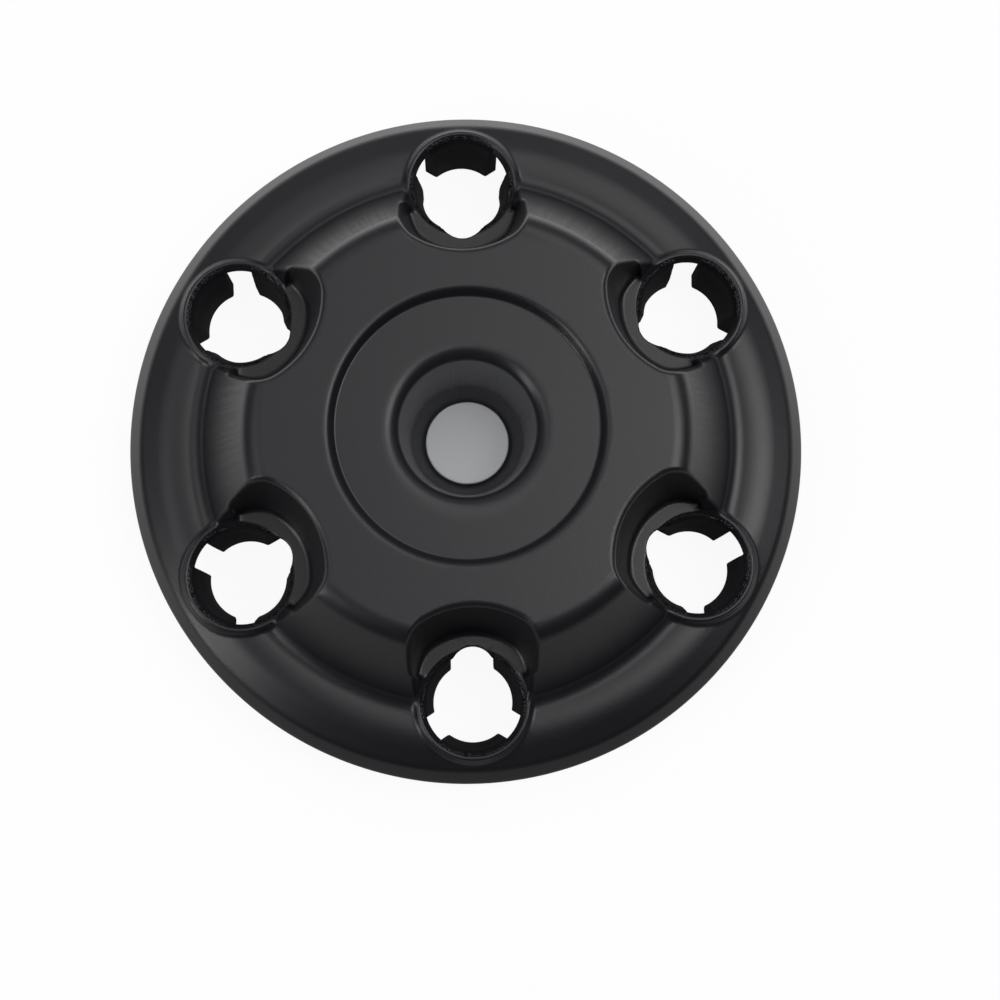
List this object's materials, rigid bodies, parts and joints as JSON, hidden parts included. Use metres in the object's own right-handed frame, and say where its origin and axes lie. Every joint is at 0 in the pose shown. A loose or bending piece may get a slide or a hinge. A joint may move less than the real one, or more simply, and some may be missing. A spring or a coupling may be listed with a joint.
{
  "type": "wheel centre cap",
  "caption": "Round wheel centre cap with a raised crown, scooped stud pockets, clip tubes that grip the lug nuts, and a plugged centre well.",
  "frame": {"origin": "on the cap's axis, in the plane of the clip fingers' ends, which is its lowest plane", "axes": "+Z along the cap's axis and out of the wheel, +Y through a stud hole"},
  "size_m": [0.1826, 0.1826, 0.046],
  "materials": {
    "shell": "black moulded plastic with a satin sheen",
    "plug": "plain mid grey moulded plastic, satin"
  },
  "bodies": {
    "root": {"cap_shell": "shell", "centre_plug": "plug"}
  },
  "joints": []
}
